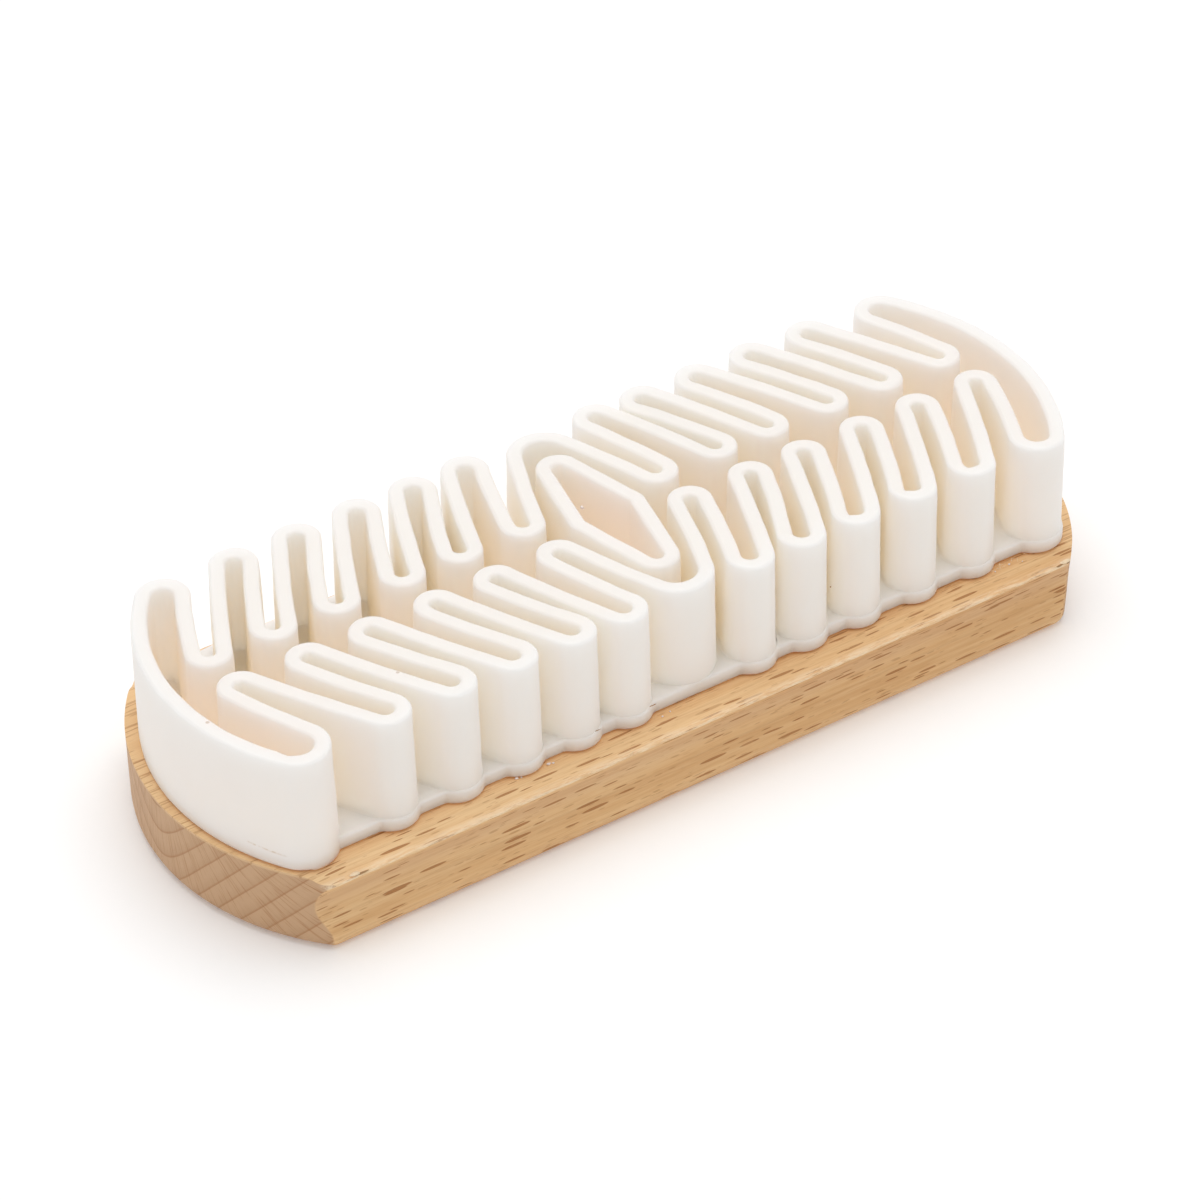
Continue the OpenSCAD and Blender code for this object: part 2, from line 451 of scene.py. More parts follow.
def beech_finish(colours):
    """Beech, cut so that its rings show as arcs on the ends and its rays as dashes on the sides."""
    material, surface, place, facing = new_finish("oiled_beech")
    x, y, z = place.parts()
    end_grain = abs(facing.parts()[0]).between(0.3, 0.55)
    side = 1 - end_grain
    # Growth rings: arcs that open upwards, round a heart of the tree just above the block
    heart_y, heart_z, arc_rounding, ring_width = 0.001, 0.013, 0.004, 0.0024
    sway = place.joined(x * 7, y * 60, z * 60).noise(1, 2) - 0.5
    across = y - heart_y
    up = z - heart_z
    bowed = (across * across + arc_rounding ** 2) ** 0.5
    radius = bowed * 0.77 - up * 0.64 + sway * 0.0006
    age = place.maths("FRACT", radius / ring_width)
    late_wood = age.between(0.86, 0.965) * (1 - age.between(0.965, 1.0))
    late_shade = age.between(0.3, 1.0)
    # Rays seen on end along the block: spindles a few millimetres long
    drift = place.joined(x * 60, y * 300, z * 300).noise(1, 1) - 0.5
    spindle_place = place.joined(x * 175, y * 2100 + drift * 1.6, z * 2100)
    spindle = spindle_place.cells(1)
    luck = spindle_place.cells(1, "Color").parts()
    size = 0.13 + luck[0] * 0.27
    dash = (size - spindle).between(0.0, 0.06) * luck[1].between(0.08, 0.3)
    small_place = place.joined(x * 380, y * 3300 + drift * 2.0, z * 3300)
    small_luck = small_place.cells(1, "Color").parts()
    small = (0.12 + small_luck[0] * 0.24 - small_place.cells(1)).between(0.0, 0.08)
    small = small * small_luck[1].between(0.15, 0.5)
    # Rays seen along their length on the two ends: fine lines that run out from the heart
    fan = place.maths("ARCTAN2", across, up - 0.012) * 0.02
    line = place.joined(x * 40, fan * 7600, radius * 260).noise(1, 1.5)
    thin_ray = line.between(0.56, 0.66) * end_grain
    long_ray = place.joined(x * 20, fan * 2600, radius * 50).noise(1, 1).between(0.66, 0.72)
    # The wood's own tone: fibres, fine hatching, streaks and broad bands, all along the block
    fibre = place.joined(x * 90, y * 2600, z * 2600).noise(1, 2)
    hatch = place.joined(x * 260, y * 6200, z * 6200).noise(1, 1)
    streak = place.joined(x * 12, y * 520, z * 520).noise(1, 3)
    broad = place.joined(x * 8, y * 130, z * 130).noise(1, 2)
    body = broad.between(0.38, 0.62).mix(colours.beech_light, colours.beech)
    body = (streak.between(0.42, 0.68) * 0.5).mix(body, colours.beech_deep)
    body = (fibre.between(0.35, 0.7) * 0.4).mix(body, colours.beech_light)
    body = (hatch.between(0.45, 0.7) * 0.3).mix(body, colours.beech_deep)
    groove = z.between(0.0048, 0.0068) * (1 - z.between(0.0075, 0.0092))
    body = (groove * abs(y).between(0.0212, 0.0216) * side * 0.3).mix(body, colours.groove)
    end_tone = (late_shade * 0.5 + (line - 0.5) * 0.8).mix(colours.end_light, colours.end_grain)
    body = end_grain.mix(body, end_tone)
    body = (late_wood * (0.12 + end_grain * 0.42)).mix(body, colours.beech_ray)
    body = (thin_ray * 0.42 + long_ray * end_grain * 0.3).mix(body, colours.beech_ray)
    body = ((dash * 0.85 + small * 0.38) * side).mix(body, colours.beech_ray)
    # The torn, paler wood along each ridge
    band = z.between(0.0090, 0.0099) * (1 - z.between(0.01048, 0.0108))
    ridge = band * abs(y).between(0.0224, 0.0233)
    torn = place.joined(x * 320, y * 1700, z * 1700).noise(1, 4, 0.7)
    body = (ridge * (0.15 + torn.between(0.38, 0.6) * 0.7)).mix(body, colours.ridge)
    # Cross-cut ticks on the strips of top in front of the end walls
    strip = z.between(0.0106, 0.0108) * abs(x).between(0.056, 0.057)
    tick = place.joined(x * 60, y * 2300, 0.0).noise(1, 1).between(0.6, 0.68)
    body = (strip * 0.5).mix(body, colours.beech_light)
    body = (strip * tick * 0.55).mix(body, colours.beech_ray)
    height = fibre * 0.4 + streak * 0.5 - (dash + small * 0.5) * side * 0.7 - late_wood * 0.3
    relief = bumped(height + ridge * torn * 3.0 - thin_ray * 0.4, 0.35, 0.0002)
    plug(surface, Base_Color=body, Roughness=0.5 + streak * 0.12 + dash * 0.1, Normal=relief,
         Specular_IOR_Level=0.35)
    return material


def glue_finish(colours):
    """Dried contact glue, yellowed and uneven."""
    material, surface, place, _ = new_finish("dried_glue")
    lump = place.noise(420, 3)
    tone = lump.between(0.35, 0.65).mix(colours.glue, colours.glue_dark)
    plug(surface, Base_Color=tone, Roughness=0.42 + lump * 0.25, Normal=bumped(lump, 0.4, 0.0003))
    return material


def length(name, description, default):
    """A size that a user would change, in metres."""
    return FloatProperty(name=name, description=description, default=default,
                         subtype="DISTANCE", unit="LENGTH")


def colour(name, description, default):
    """A colour that a user would change, as linear light."""
    return FloatVectorProperty(name=name, description=description, default=default,
                               subtype="COLOR", size=3)


class BrushSizes(bpy.types.PropertyGroup):
    """Sizes of the pad that the eye sees and the plain solids leave out."""

    rim_thickness: length(
        "Rim thickness", "Thickness of the rubber walls at their rim", 0.002)
    foot_thickness: length(
        "Foot thickness", "Thickness of the rubber walls above their foot", 0.0025)
    rim_rounding: length(
        "Rim rounding", "Rounding of the two edges of each rim", 0.0004)
    foot_fillet: length(
        "Foot fillet", "Hollow where a wall runs into the sheet", 0.0004)
    wall_bow: length(
        "Wall bow", "How far the straight stretches bow towards the pad's ends", 0.00017)
    rim_waver: length(
        "Rim waver", "Unevenness of the cut rims", 0.00008)


class BrushColours(bpy.types.PropertyGroup):
    """Colours of the brush, as linear light."""

    rubber: colour(
        "Rubber", "Milky white of the crepe rubber", (0.978, 0.885, 0.84))
    rubber_shade: colour(
        "Rubber clouds", "Slightly creamier clouds in the rubber", (0.972, 0.875, 0.828))
    rubber_edge: colour(
        "Sheet edge", "Rubber tinted by the glue at the sheet's edge", (0.93, 0.80, 0.70))
    # Painted light: a brighter, creamier rubber colour painted deep between the walls, for the
    # light that crosses them
    rubber_hollow_painted_light: colour(
        "Sheltered rubber", "Painted light: rubber painted brighter and creamier deep between the walls", (0.992, 0.957, 0.88))
    beech_light: colour(
        "Light beech", "Light streaks of the beech", (0.90, 0.625, 0.335))
    beech: colour(
        "Beech", "Main tone of the beech", (0.82, 0.51, 0.24))
    beech_deep: colour(
        "Deep beech", "Darker streaks of the beech", (0.64, 0.34, 0.135))
    beech_ray: colour(
        "Beech rays", "Dark dashes of the rays and lines of the rings", (0.43, 0.185, 0.06))
    end_grain: colour(
        "End grain", "Pinkish brown of the block's ends", (0.50, 0.29, 0.155))
    end_light: colour(
        "Light end grain", "Paler early wood on the block's ends", (0.63, 0.40, 0.23))
    groove: colour(
        "Groove", "Greyer wood in the finger grooves", (0.66, 0.45, 0.29))
    ridge: colour(
        "Ridge", "Paler, torn wood along the ridges", (0.95, 0.76, 0.52))
    glue: colour(
        "Glue", "Dried, yellowed glue", (0.90, 0.74, 0.46))
    glue_dark: colour(
        "Dark glue", "Darker patches of the glue", (0.78, 0.58, 0.31))
    slit: colour(
        "Slits", "Brown slits at the feet of the folds", (0.42, 0.24, 0.11))
    floor: colour(
        "Floor", "White of the floor and backdrop", (0.93, 0.93, 0.93))


# Torn spots of the rims in mm: place along and across, reach and depth
RIM_FLAWS = ((15.4, -16.8, 0.5, 0.2), (23.9, -17.6, 0.45, 0.22), (32.6, -17.4, 0.5, 0.3),
             (33.3, -17.7, 0.3, -0.12), (42.2, -18.0, 0.6, 0.25), (42.9, -17.8, 0.3, -0.1),
             (-57.0, -17.8, 0.7, 0.25), (-55.6, -18.2, 0.4, 0.2), (29.9, -13.1, 0.35, 0.25),
             (52.7, -18.2, 0.5, 0.15))

# Rows of a wall in mm above the sheet's upper face, those below 0 inside the sheet
WALL_ROWS = (-1.85, -1.7, -1.5, -1.2, -0.06, 0.06, 0.16, 0.3, 0.5, 1.0, 2.4, 4.4, 6.4, 8.4, 10.4,
             12.2, 13.5)

# In metres: where the foot fillet ends at the sides of the pad and over what length it fades, how
# far the outer foot of the end walls turns in, and how low the rims sag at both ends of the pad
FILLET_END = 0.0193
FILLET_FADE = 0.0015
FOOT_TURN = 0.0006
FOOT_TURN_USED = 0.00055
RIM_SAG = 0.00018
RIM_SAG_PLACE = 0.062


def upright_wall(name, line, high, sizes):
    """A rubber wall along a closed plan line, its rim rounded and its foot a little wider."""
    foot = SHEET_HIGH.z
    rows = [foot + row * MM for row in WALL_ROWS] + [high]
    piece = ring(name, [(x * MM, y * MM) for x, y in line], rows[0])
    extrude(piece, upwards(upper - lower for lower, upper in zip(rows, rows[1:])))
    recalculate(piece)
    apply(piece, "SOLIDIFY", thickness=sizes.rim_thickness, offset=0, use_even_offset=True,
          use_quality_normals=True)
    recalculate(piece)
    pick_edges(piece, rim_edges(piece, high))
    bpy.ops.mesh.bevel(offset=sizes.rim_rounding, segments=4, profile=0.5, affect="EDGES",
                       clamp_overlap=False)
    bpy.ops.object.mode_set(mode="OBJECT")
    settle_wall(piece, line, foot, high, sizes)
    recalculate(piece)


def rim_edges(piece, high):
    """The two edge loops round a rim: at the top, between a level and an upright face."""
    top = high - 0.01 * MM
    level = {}
    for face in piece.data.polygons:
        for key in face.edge_keys:
            level.setdefault(key, set()).add(abs(face.normal.z) > 0.5)
    vertices = piece.data.vertices
    found = set()
    for edge in piece.data.edges:
        if len(level[edge.key]) == 2 and all(vertices[i].co.z > top for i in edge.vertices):
            found.add(edge.index)
    return found


def plan_tree(plan):
    """A search tree that finds the number of the plan point that is nearest to a place."""
    tree = kdtree.KDTree(len(plan))
    for i, (x, y) in enumerate(plan):
        tree.insert((x, y, 0), i)
    tree.balance()
    return tree


def settle_wall(piece, line, low, high, sizes):
    """Draft, foot fillet and the small unevenness of a moulded wall, set across its line."""
    plan = np.array(line) * MM
    ahead = np.roll(plan, -1, 0) - np.roll(plan, 1, 0)
    ahead /= np.linalg.norm(ahead, axis=1)[:, None]
    side = np.stack((ahead[:, 1], -ahead[:, 0]), 1)
    tree = plan_tree(plan)
    half = sizes.rim_thickness / 2
    spread = (sizes.foot_thickness - sizes.rim_thickness) / 2
    fillet = sizes.foot_fillet
    points = points_of(piece)
    for i, (x, y, z) in enumerate(points):
        station = tree.find((x, y, 0))[1]
        offset = float((points[i, :2] - plan[station]) @ side[station])
        share = (high - z) / (high - low)
        widen = spread * share
        above = z - low
        inland = min(1, max(0, (FILLET_END - abs(y)) / FILLET_FADE))
        end_x, end_y, end_radius = RIGHT_END if x > 0 else LEFT_END
        if math.hypot(x / MM - end_x, y / MM - end_y) > end_radius:
            inland = 0
            # The end walls' outer foot, which runs down over the sheet's edge, turns in
            short = max(0, FOOT_TURN - (z - SHEET_LOW.z))
            widen -= FOOT_TURN - math.sqrt(FOOT_TURN ** 2 - min(short, FOOT_TURN_USED) ** 2)
        if above < fillet:
            inner = fillet - max(0, above)
            widen += inland * (fillet - math.sqrt(fillet ** 2 - inner ** 2))
        waver = noise.noise(Vector((x * 350, y * 350, z * 350))) * sizes.rim_waver
        points[i, :2] += side[station] * (offset / half * widen + waver * (0.3 + 0.7 * (1 - share)))
        if share < 0.1:
            for flaw_x, flaw_y, reach, depth in RIM_FLAWS:
                gap = math.hypot(x / MM - flaw_x, y / MM - flaw_y) / reach
                points[i, 2] -= depth * MM * math.exp(-gap * gap)
            dip = -RIM_SAG * (1 - math.cos(x / RIM_SAG_PLACE * math.pi / 2) ** 2) ** 3
            ripple = noise.noise(Vector((x * 160, y * 160, 3))) * sizes.rim_waver
            points[i, 2] += min(0, dip - sizes.rim_waver * 0.6 + ripple)
    sculpt(piece, points)


# The block is drawn this far past both ends in metres, in this many steps, and then cut
END_SPARE = 0.002
BLOCK_STEPS = 134

# Its ends in mm: radius of the bow, roundings of the upright corners and of the lower edge, the
# most that edge is set in, and how much further in the right end stands at its foot
BOW_RADIUS = 33.6
RIGHT_CORNER = 2.0
LEFT_CORNER = 1.2
LOW_ROUNDING = 1.6
LOW_MOST = 1.1
RIGHT_LEAN = 0.5


class BRUSH_OT_block(bpy.types.Operator):
    """Shape the beech block with its finger grooves, ridges and bowed ends"""

    bl_idname = "brush.block"
    bl_label = "Beech block"

    def execute(self, context):
        side = [(y * MM, z * MM) for y, z in BLOCK_SIDE]
        section = side + [(-y, z) for y, z in reversed(side)]
        ready()
        bpy.ops.mesh.primitive_circle_add(vertices=len(section), radius=0.01, fill_type="NGON")
        block = bpy.context.object
        block.name = "beech_body"
        start = BLOCK_LOW.x - END_SPARE
        sculpt(block, [(start, y, z) for y, z in section])
        length = BLOCK_HIGH.x - BLOCK_LOW.x + 2 * END_SPARE
        extrude(block, [(length / BLOCK_STEPS, 0, 0)] * BLOCK_STEPS)
        fray_ridges(block)
        recalculate(block)
        cutter = end_cutter()
        choose(block)
        apply(block, "BOOLEAN", operation="INTERSECT", object=cutter, solver="EXACT")
        bpy.data.objects.remove(cutter)
        apply(block, "BEVEL", width=0.00035, segments=3, limit_method="ANGLE",
              angle_limit=math.radians(40), harden_normals=False)
        smooth(block, 35)
        finish_piece(block, beech_finish(context.scene.brush_colours), "beech", "beech_block")
        return {"FINISHED"}


def fray_ridges(block):
    """Wears the two sharp ridges above the finger grooves unevenly."""
    points = points_of(block)
    for i, (x, y, z) in enumerate(points):
        if abs(y) > 0.0232 and z > 0.0096:
            fray = noise.noise(Vector((x * 420, y * 90, z * 300)))
            points[i, 1] += math.copysign(1, y) * (-0.00008 + 0.00008 * fray)
            points[i, 2] += 0.00006 * noise.noise(Vector((x * 520, 7, z * 200)))
    sculpt(block, points)


def end_cutter():
    """A solid just outside the block's sides, with its bowed ends and rounded upright corners."""
    ridge = max(BLOCK_SIDE)
    below, above = -0.5, 12.0
    flank = BLOCK_SIDE[1:BLOCK_SIDE.index(ridge) + 1]
    rows = [(BLOCK_SIDE[0][0], below), *flank, (ridge[0], above)]
    plans = []
    for half_width, z in rows:
        height = max(z, 0.0)
        short = max(0, LOW_ROUNDING - height)
        inset = LOW_ROUNDING - math.sqrt(LOW_ROUNDING ** 2 - short ** 2)
        lean = RIGHT_LEAN * (1 - height / above)
        plans.append(end_plan(half_width, min(inset, LOW_MOST), lean))
    cutter = ring("end_cutter", plans[0], 0.0)
    fill(cutter)
    extrude(cutter, upwards([MM] * (len(rows) - 1)))
    columns = plan_tree(plans[0])
    points = points_of(cutter)
    for i, (x, y, z) in enumerate(points):
        row = round(z / MM)
        points[i, :2] = plans[row][columns.find((x, y, 0))[1]]
        points[i, 2] = rows[row][1] * MM
    sculpt(cutter, points)
    recalculate(cutter)
    return cutter


def end_plan(half_width, inset, lean):
    """Plan in metres of the block at one height: two bowed ends that round into the sides."""
    right = end_points(half_width, inset + lean, RIGHT_CORNER)
    left = end_points(half_width, inset, LEFT_CORNER)
    return right + [(-x, -y) for x, y in left]


def end_points(half_width, inset, corner):
    """Plan of one end, from its near corner to its far one."""
    clear = 0.02
    radius = BOW_RADIUS - inset
    centre = BLOCK_HIGH.x / MM - BOW_RADIUS
    turn_y = half_width + clear - corner
    turn_x = centre + math.sqrt((radius - corner) ** 2 - turn_y ** 2)
    tangent = math.atan2(turn_y, turn_x - centre)
    upper = [tangent + (math.pi / 2 - tangent) * k / 7 for k in range(8)]
    arc = [tangent * k / 26 for k in range(-25, 26)]
    end = [(turn_x + corner * math.cos(a), -turn_y - corner * math.sin(a)) for a in reversed(upper)]
    end += [(centre + radius * math.cos(a), radius * math.sin(a)) for a in arc]
    end += [(turn_x + corner * math.cos(a), turn_y + corner * math.sin(a)) for a in upper]
    return [(x * MM, y * MM) for x, y in end]


class BRUSH_OT_glue(bpy.types.Operator):
    """Give the glue film between block and rubber its dried, yellowed finish"""

    bl_idname = "brush.glue"
    bl_label = "Glue film"

    def execute(self, context):
        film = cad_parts["glue_film"]
        film.data.materials.clear()
        film.data.materials.append(glue_finish(context.scene.brush_colours))
        return {"FINISHED"}


class BRUSH_OT_sheet(bpy.types.Operator):
    """Mould the rubber sheet, its edge scalloped round the foot of each fold"""

    bl_idname = "brush.sheet"
    bl_label = "Rubber sheet"

    def execute(self, context):
        line = wall_line(sheet_turns(), 0.3, 0)
        sheet = ring("rubber_sheet", [(x * MM, y * MM) for x, y in line], SHEET_LOW.z)
        fill(sheet)
        extrude(sheet, upwards([SHEET_HIGH.z - SHEET_LOW.z]))
        recalculate(sheet)
        apply(sheet, "BEVEL", width=0.0003, segments=3, limit_method="ANGLE",
              angle_limit=math.radians(60), use_clamp_overlap=True)
        return {"FINISHED"}


def sheet_quarter(end, corner, rim, shifts, edge, scallop):
    """Turns of a quarter of the sheet's edge, from the corner to the fold nearest the middle."""
    def reach(y, radius):
        return math.sqrt((radius + HOLLOW) ** 2 - (edge + HOLLOW - abs(y)) ** 2)

    place, y, radius = corner_turn(end, corner, rim)
    side_x = math.copysign(1, place)
    side_y = math.copysign(1, y)
    hollow_y = side_y * (edge + HOLLOW)
    turns = [(place, y, radius)]
    if abs(y) + radius > edge:
        turns.append((place - side_x * reach(y, radius), hollow_y, -HOLLOW))
    aside = side_x * reach(FOLD_Y, scallop)
    for fold_place, shift in reversed(list(zip(FOLD_PLACES, shifts))):
        fold = side_x * (fold_place + shift)
        turns.append((fold + aside, hollow_y, -HOLLOW))
        turns.append((fold, side_y * FOLD_Y, scallop))
        turns.append((fold - aside, hollow_y, -HOLLOW))
    return turns


def sheet_turns():
    """Turns of the sheet's scalloped edge, the scallops round the feet of the folds."""
    def far(end, corner, rim, shifts):
        return sheet_quarter(end, corner, rim, shifts, FAR_EDGE, FAR_SCALLOP)

    def near(end, corner, rim, shifts):
        return sheet_quarter(end, corner, rim, shifts, NEAR_EDGE, NEAR_SCALLOP)

    turns = far(RIGHT_END, FAR_RIGHT_CORNER, RIGHT_CORNER_RIM, FAR_RIGHT_FOLDS)
    turns += far(LEFT_END, FAR_LEFT_CORNER, LEFT_RIM, FAR_LEFT_FOLDS)[::-1]
    turns.append((*LEFT_END[:2], LEFT_END[2] + LEFT_RIM))
    turns += near(LEFT_END, NEAR_LEFT_CORNER, LEFT_RIM, NEAR_LEFT_FOLDS)
    turns += near(RIGHT_END, NEAR_RIGHT_CORNER, RIGHT_CORNER_RIM, NEAR_RIGHT_FOLDS)[::-1]
    turns.append((*RIGHT_END[:2], RIGHT_END[2] + RIGHT_END_RIM))
    return turns


class BRUSH_OT_wall(bpy.types.Operator):
    """Raise the folded rubber wall that runs round the pad"""

    bl_idname = "brush.wall"
    bl_label = "Folded wall"

    def execute(self, context):
        sizes = context.scene.brush_sizes
        line = wall_line(pad_turns(), 0.4, sizes.wall_bow / MM)
        upright_wall("folded_wall", line, WALL_HIGH.z, sizes)
        return {"FINISHED"}


class BRUSH_OT_loop(bpy.types.Operator):
    """Raise the closed lozenge loop in the middle of the pad"""

    bl_idname = "brush.loop"
    bl_label = "Centre loop"

    def execute(self, context):
        sizes = context.scene.brush_sizes
        upright_wall("lozenge_loop", wall_line(LOOP_TURNS, 0.3, 0), LOOP_HIGH.z, sizes)
        return {"FINISHED"}


class BRUSH_OT_pad(bpy.types.Operator):
    """Fuse the sheet, the folded wall and the loop into the one moulding that they are"""

    bl_idname = "brush.pad"
    bl_label = "Rubber pad"

    def execute(self, context):
        pad = bpy.data.objects["rubber_sheet"]
        for name in ("folded_wall", "lozenge_loop"):
            wall = bpy.data.objects[name]
            choose(pad)
            apply(pad, "BOOLEAN", operation="UNION", object=wall, solver="MANIFOLD")
            bpy.data.objects.remove(wall)
        pad.name = "rubber_pad"
        smooth(pad, 42)
        apply(pad, "WEIGHTED_NORMAL", mode="FACE_AREA", weight=50, keep_sharp=True)
        mark_shelter(pad)
        finish_piece(pad, rubber_finish(context.scene.brush_colours), "crepe_rubber",
                     "base_sheet", "wave_band", "centre_loop")
        return {"FINISHED"}


# How far in metres a place of the pad looks for shelter, and its looks: how far off its own
# direction in radians, and how many
SHELTER_REACH = 0.014
SHELTER_LOOKS = ((0.35, 4), (0.85, 8), (1.25, 6))


def mark_shelter(pad):
    """Writes how enclosed each place of the pad is, for the painted light that makes its depths
    brighter and creamier.
    """
    tree = BVHTree.FromPolygons([vertex.co for vertex in pad.data.vertices],
                                [list(face.vertices) for face in pad.data.polygons])
    looks = []
    for lean, count in SHELTER_LOOKS:
        for k in range(count):
            turn = math.tau * (k + lean) / count
            looks.append(Vector((math.sin(lean) * math.cos(turn),
                                 math.sin(lean) * math.sin(turn), math.cos(lean))))
    values = []
    for vertex in pad.data.vertices:
        upright = vertex.normal.to_track_quat("Z", "Y")
        start = vertex.co + vertex.normal * 0.00015
        hidden = 0.0
        for look in looks:
            distance = tree.ray_cast(start, upright @ look, SHELTER_REACH)[3]
            if distance is not None:
                hidden += 1 - distance / SHELTER_REACH
        values.append(hidden / len(looks))
    attribute = pad.data.attributes.new("shelter", "FLOAT", "POINT")
    attribute.data.foreach_set("value", values)


# Crumbs in mm: place, and half length, half width and half height
PALE_CRUMBS = (
    ((-27.3, -20.4, 11.12), (0.26, 0.16, 0.14)), ((-26.7, -20.5, 11.08), (0.14, 0.12, 0.09)),
    ((-22.7, -20.35, 11.15), (0.3, 0.18, 0.16)), ((-22.1, -20.45, 11.1), (0.2, 0.13, 0.1)),
    ((-6.2, -20.65, 11.1), (0.16, 0.12, 0.1)), ((-4.9, -20.4, 11.12), (0.12, 0.1, 0.08)),
    ((9.4, -20.2, 11.12), (0.2, 0.12, 0.11)), ((45.2, -20.75, 11.08), (0.12, 0.1, 0.07)),
    ((47.6, -20.6, 11.12), (0.16, 0.12, 0.1)), ((49.4, -21.0, 11.06), (0.1, 0.09, 0.06)),
    ((30.5, 20.9, 11.1), (0.2, 0.14, 0.1)), ((-40.2, 20.9, 11.1), (0.16, 0.12, 0.1)),
    ((-2.25, 2.6, 27.1), (0.2, 0.28, 0.24)),
)
BROWN_SLITS = (
    ((-26.1, -20.2, 13.3), (0.55, 0.07, 0.07)), ((-16.6, -20.4, 12.9), (0.5, 0.06, 0.06)),
    ((-15.7, -20.4, 13.1), (0.55, 0.06, 0.06)), ((-7.4, -20.35, 13.2), (0.5, 0.07, 0.06)),
    ((20.0, -19.4, 18.8), (0.1, 0.1, 0.1)), ((-51.3, -23.85, 10.5), (0.9, 0.12, 0.12)),
    ((53.2, -23.9, 10.5), (0.5, 0.12, 0.12)), ((54.6, -23.9, 10.45), (0.25, 0.12, 0.1)),
)
WOOD_CURLS = (
    ((-52.1, -23.7, 10.62), (0.75, 0.3, 0.14)), ((54.3, -23.7, 10.6), (0.9, 0.32, 0.14)),
)


def keep_inside(points):
    """Presses points in metres that stand out past the block's ridges back to them."""
    points[:, 1] = np.clip(points[:, 1], BLOCK_LOW.y, BLOCK_HIGH.y)


def crumb(place, half_sizes, seed):
    """One irregular crumb, its place and half sizes in mm."""
    ready()
    bpy.ops.mesh.primitive_ico_sphere_add(subdivisions=2, radius=1)
    piece = bpy.context.object
    points = points_of(piece)
    for i, point in enumerate(points):
        lump = 1 + 0.4 * noise.noise(Vector(point) * 1.3 + Vector((seed * 3.1, seed, 0)))
        points[i] = [(centre + half * value * lump) * MM
                     for centre, half, value in zip(place, half_sizes, point)]
    keep_inside(points)
    sculpt(piece, points)
    return piece


def fibre(start, lean, length, seed):
    """One loose fibre, a thin bent tube that tapers, its start and length in mm."""
    steps = 5
    sides = 5
    thickness = 0.035
    bend = 0.55
    taper = 0.75
    corners = [k * math.tau / sides for k in range(sides)]
    piece = ring("fibre", [(math.cos(angle), math.sin(angle)) for angle in corners], 0.0)
    extrude(piece, upwards([1.0] * steps))
    path = [Vector(start)]
    direction = Vector(lean).normalized()
    for k in range(steps):
        sway = [noise.noise(Vector((seed * 1.7, k * 0.7, 2.3 + 9.1 * axis))) for axis in range(3)]
        direction += Vector(sway) * bend
        direction.normalize()
        path.append(path[-1] + direction * length / steps)
    points = points_of(piece)
    for i, (x, y, z) in enumerate(points):
        row = round(z)
        centre = path[row]
        run = (path[min(row + 1, steps)] - path[max(row - 1, 0)]).normalized()
        side = run.cross(Vector((0.3, 0.9, 0.2))).normalized()
        width = thickness * (1 - taper * row / steps)
        points[i] = (centre + (side * x + run.cross(side) * y) * width) * MM
    keep_inside(points)
    sculpt(piece, points)
    choose(piece)
    bpy.ops.object.mode_set(mode="EDIT")
    bpy.ops.mesh.select_all(action="SELECT")
    bpy.ops.mesh.fill_holes(sides=0)
    bpy.ops.object.mode_set(mode="OBJECT")
    return piece


def join(pieces, name, material, slot):
    """Joins small pieces into one and finishes it."""
    ready()
    for piece in pieces:
        piece.select_set(True)
    bpy.context.view_layer.objects.active = pieces[0]
    bpy.ops.object.join()
    joined = pieces[0]
    joined.name = name
    joined.data.name = name
    recalculate(joined)
    smooth(joined, 60)
    finish_piece(joined, material, slot)


def plain_finish(name, colour, roughness):
    """A matt finish of one colour, finely speckled with a darker one."""
    material, surface, place, _ = new_finish(name)
    speckle = place.noise(1500, 2).between(0.3, 0.7)
    darker = [value * 0.8 for value in colour]
    plug(surface, Base_Color=speckle.mix(darker, colour), Roughness=roughness,
         Specular_IOR_Level=0.3)
    return material


def crumbs(places):
    """A crumb for each place and half size of a list."""
    return [crumb(place, half_sizes, k) for k, (place, half_sizes) in enumerate(places)]


def loose_fibres():
    """Fibres at the sheet's near edge, and along both ridges, more of them on the near one."""
    random = np.random.default_rng(7)
    fibres = []
    for k in range(12):
        place = (random.uniform(44.5, 50.0), -20.5, random.uniform(11.1, 11.9))
        lean = (random.uniform(-1, 1), -0.9, 0.1)
        fibres.append(fibre(place, lean, random.uniform(0.5, 1.1), k))
    for k in range(44):
        side = -1 if k % 3 else 1
        place = (random.uniform(-54, 55), side * 23.75, 10.4)
        lean = (random.choice((-1, 1)), side * 0.1, random.uniform(0.02, 0.25))
        fibres.append(fibre(place, lean, random.uniform(0.6, 1.5), 20 + k))
    return fibres


class BRUSH_OT_traces(bpy.types.Operator):
    """Lay the traces of making: crumbs, brown slits, and torn curls and fibres of the wood"""

    bl_idname = "brush.traces"
    bl_label = "Crumbs and fibres"

    def execute(self, context):
        colours = context.scene.brush_colours
        join(crumbs(PALE_CRUMBS), "pale_crumbs",
             plain_finish("crumb_white", colours.rubber, 0.5), "crepe_rubber")
        join(crumbs(BROWN_SLITS), "brown_slits",
             plain_finish("slit_brown", colours.slit, 0.7), "glue")
        join(crumbs(WOOD_CURLS) + loose_fibres(), "torn_fibres",
             plain_finish("pale_fibre", colours.ridge, 0.6), "beech")
        return {"FINISHED"}


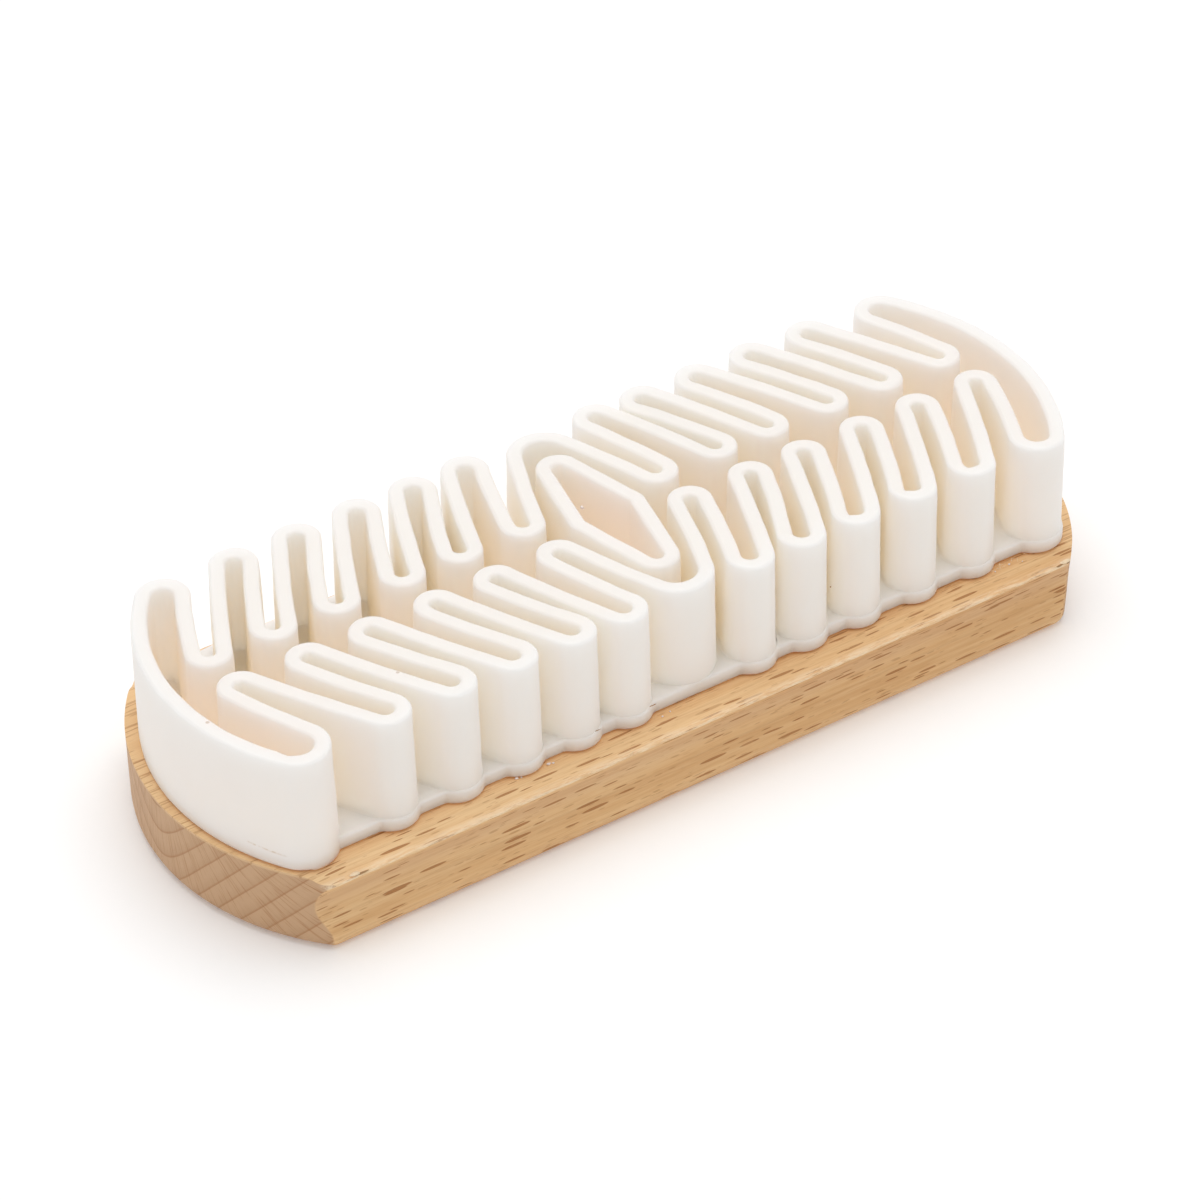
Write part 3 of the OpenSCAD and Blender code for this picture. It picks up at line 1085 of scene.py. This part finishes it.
# The studio: lengths in metres, angles in degrees, the lens in mm. The floor's glow and the white
# of the world are for the camera alone, and the brush is lit by the world's light and one lamp.
FLOOR_SIZE = 6
FLOOR_DROP = 0.00002
FLOOR_GLOW = (0.11, 0.11, 0.11)
WORLD_LIGHT = 0.66
LIGHT_BOUNCES = 24
LAMP_PLACE = (0.1, 0.18, 1.1)
LAMP_SIZE = 1.0
LAMP_POWER = 5.6
CAMERA_PLACE = (-0.24098, -0.36308, 0.34971)
CAMERA_AZIMUTH = -33.41
CAMERA_DIP = 37.67
CAMERA_ROLL = -0.84
CAMERA_LENS = 131.32


def seen_directly(term):
    """1 where the camera sees a surface, itself or through glass or gloss, and 0 for its light."""
    rays = [term.node("ShaderNodeLightPath", None, None, kind)
            for kind in ("Is Camera Ray", "Is Glossy Ray", "Is Transmission Ray")]
    return rays[0].maths("MAXIMUM", rays[0].maths("MAXIMUM", rays[0], rays[1]), rays[2])


class BRUSH_OT_studio(bpy.types.Operator):
    """Set the pale floor, the soft light and the camera at the photograph's angle"""

    bl_idname = "brush.studio"
    bl_label = "Studio"

    def execute(self, context):
        scene = context.scene
        scene.view_settings.view_transform = "Standard"
        ready()
        bpy.ops.mesh.primitive_plane_add(size=FLOOR_SIZE, location=(0, 0, -FLOOR_DROP))
        floor = context.object
        floor.name = "floor"
        bpy.ops.object.transform_apply()
        material, surface, place, _ = new_finish("floor_white")
        plug(surface, Base_Color=(*scene.brush_colours.floor, 1), Roughness=0.9,
             Specular_IOR_Level=0.0, Emission_Strength=1.0,
             Emission_Color=seen_directly(place).mix((0, 0, 0), FLOOR_GLOW))
        floor.data.materials.append(material)

        world = bpy.data.worlds.new("studio_white")
        scene.world = world
        world.use_nodes = True
        tree = world.node_tree
        back = tree.nodes["Background"]
        back.inputs["Color"].default_value = (1, 1, 1, 1)
        seen = seen_directly(Term(tree, None))
        strength = seen + (1 - seen) * WORLD_LIGHT
        tree.links.new(strength.socket, back.inputs["Strength"])
        # Light crosses many of the thin walls before it leaves the pad
        scene.cycles.max_bounces = LIGHT_BOUNCES
        scene.cycles.diffuse_bounces = LIGHT_BOUNCES

        hang_lamp(scene)
        place_camera(scene)
        return {"FINISHED"}


def hang_lamp(scene):
    """The one lamp: a wide soft disc above the brush, a little behind it, that faces it."""
    data = bpy.data.lights.new("softbox", "AREA")
    data.shape = "DISK"
    data.size = LAMP_SIZE
    data.energy = LAMP_POWER
    lamp = bpy.data.objects.new("softbox", data)
    scene.collection.objects.link(lamp)
    aim = Vector((0, 0, 0.01)) - Vector(LAMP_PLACE)
    lamp.location = LAMP_PLACE
    lamp.rotation_euler = aim.to_track_quat("-Z", "Y").to_euler()


def place_camera(scene):
    """The camera, where the photograph was taken from."""
    azimuth = math.radians(CAMERA_AZIMUTH)
    dip = math.radians(CAMERA_DIP)
    ahead = Vector((-math.sin(azimuth) * math.cos(dip), math.cos(azimuth) * math.cos(dip),
                    -math.sin(dip)))
    turn = ahead.to_track_quat("-Z", "Y") @ Quaternion((0, 0, 1), math.radians(CAMERA_ROLL))
    data = bpy.data.cameras.new("camera")
    data.sensor_width = 36
    data.lens = CAMERA_LENS
    data.clip_start = 0.05
    camera = bpy.data.objects.new("camera", data)
    scene.collection.objects.link(camera)
    camera.location = CAMERA_PLACE
    camera.rotation_euler = turn.to_euler()
    scene.camera = camera


class BRUSH_PT_panel(bpy.types.Panel):
    """Lists the brush's pieces and the sizes and colours that they are made with"""

    bl_idname = "BRUSH_PT_panel"
    bl_label = "Suede brush"
    bl_space_type = "VIEW_3D"
    bl_region_type = "UI"
    bl_category = "Suede brush"

    def draw(self, context):
        layout = self.layout
        for operator in STEPS:
            layout.operator(operator.bl_idname)
        for group in (context.scene.brush_sizes, context.scene.brush_colours):
            for name in group.bl_rna.properties.keys():
                if name not in ("rna_type", "name"):
                    layout.prop(group, name)


STEPS = (BRUSH_OT_block, BRUSH_OT_glue, BRUSH_OT_sheet, BRUSH_OT_wall, BRUSH_OT_loop,
         BRUSH_OT_pad, BRUSH_OT_traces, BRUSH_OT_studio)
CLASSES = (BrushSizes, BrushColours) + STEPS + (BRUSH_PT_panel,)


def register():
    for cls in CLASSES:
        bpy.utils.register_class(cls)
    bpy.types.Scene.brush_sizes = PointerProperty(type=BrushSizes)
    bpy.types.Scene.brush_colours = PointerProperty(type=BrushColours)


def unregister():
    del bpy.types.Scene.brush_colours
    del bpy.types.Scene.brush_sizes
    for cls in reversed(CLASSES):
        bpy.utils.unregister_class(cls)


def main():
    register()
    bpy.ops.brush.block()
    bpy.ops.brush.glue()
    bpy.ops.brush.sheet()
    bpy.ops.brush.wall()
    bpy.ops.brush.loop()
    bpy.ops.brush.pad()
    bpy.ops.brush.traces()
    bpy.ops.brush.studio()


if __name__ == "__main__":
    main()
